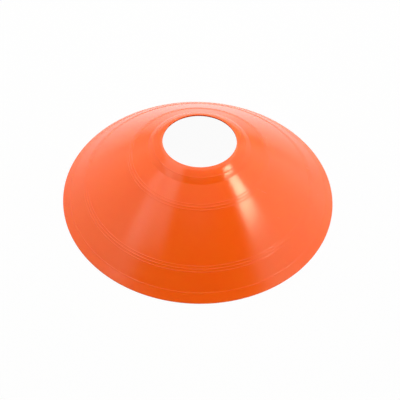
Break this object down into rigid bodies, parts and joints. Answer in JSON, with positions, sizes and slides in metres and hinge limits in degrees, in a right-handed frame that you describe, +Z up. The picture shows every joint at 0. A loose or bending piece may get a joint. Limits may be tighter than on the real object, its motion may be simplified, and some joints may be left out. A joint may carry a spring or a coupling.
{
  "type": "sports marker cone",
  "caption": "Low disc marker cone for training grounds: a thin orange shell that flares from a round top hole with a soft collar to a flat-standing rim, with fine ribs in rings.",
  "frame": {"origin": "centre of the circle that the rim stands on, on the ground plane", "axes": "+Z is up along the cone's axis of symmetry, through the middle of the top hole; X and Y lie on the ground, and the round shell has no front, so +X is the side that the picture shows on the right"},
  "size_m": [0.19, 0.19, 0.0513],
  "materials": {
    "orange_shell": "satin-gloss moulded soft polyethylene, slightly see-through at thin edges"
  },
  "bodies": {
    "root": {"disc_cone": "orange_shell"}
  },
  "joints": []
}
